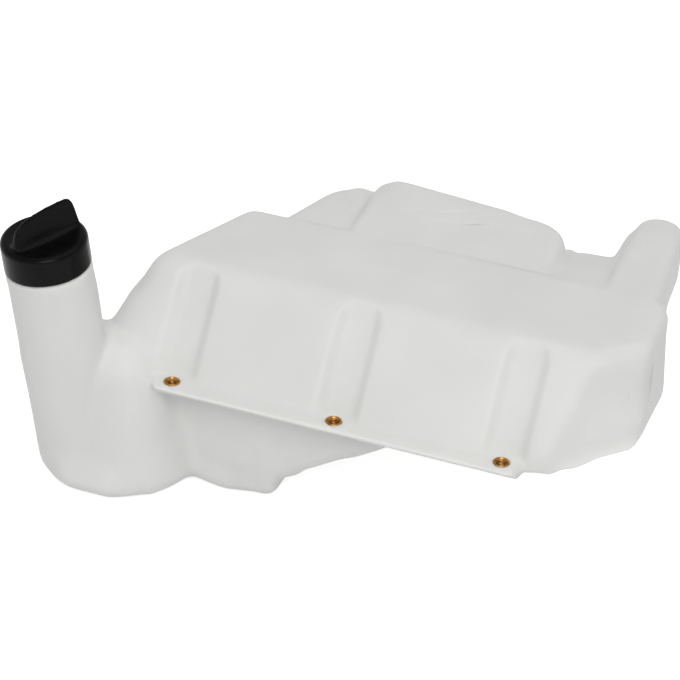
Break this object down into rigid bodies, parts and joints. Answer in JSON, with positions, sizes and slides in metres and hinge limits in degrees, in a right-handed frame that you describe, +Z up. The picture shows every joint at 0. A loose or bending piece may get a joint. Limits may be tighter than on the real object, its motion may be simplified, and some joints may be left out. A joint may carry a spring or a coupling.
{
  "type": "windscreen washer fluid reservoir",
  "caption": "Blow-moulded washer fluid tank with a sloped, channelled front, a row of brass inserts on a ledge, a deep sump and a tilted filler neck with a finned twist cap.",
  "frame": {"origin": "centre of the middle insert's mouth, on the mounting ledge", "axes": "+X to the right along the row of inserts, +Y to the back of the tank, +Z up, out of the inserts"},
  "size_m": [0.438, 0.3078, 0.2163],
  "materials": {
    "natural_hdpe": "satin, milky",
    "black_plastic": "satin",
    "black_rubber": "matt",
    "brass": "turned"
  },
  "bodies": {
    "tank_body": {"tank": "natural_hdpe", "insert_left": "brass", "insert_middle": "brass", "insert_right": "brass", "pump_grommet": "black_rubber"},
    "seal_body": {"cap_seal": "black_rubber"},
    "cap_body": {"filler_cap": "black_plastic"}
  },
  "joints": [
    {"name": "cap_lift", "type": "slide", "parent": "tank_body", "child": "seal_body", "axis": [-0.1129, -0.0745, 0.9908], "range_m": [0, 0.009]},
    {"name": "cap_turn", "type": "hinge", "parent": "seal_body", "child": "cap_body", "pos_m": [-0.20982, -0.01091, 0.08535], "axis": [-0.1129, -0.0745, 0.9908], "range_deg": [0, 541]}
  ],
  "couplings": [
    {"joint": "cap_turn", "follows": "cap_lift", "rad_per_m": 1047.2}
  ]
}
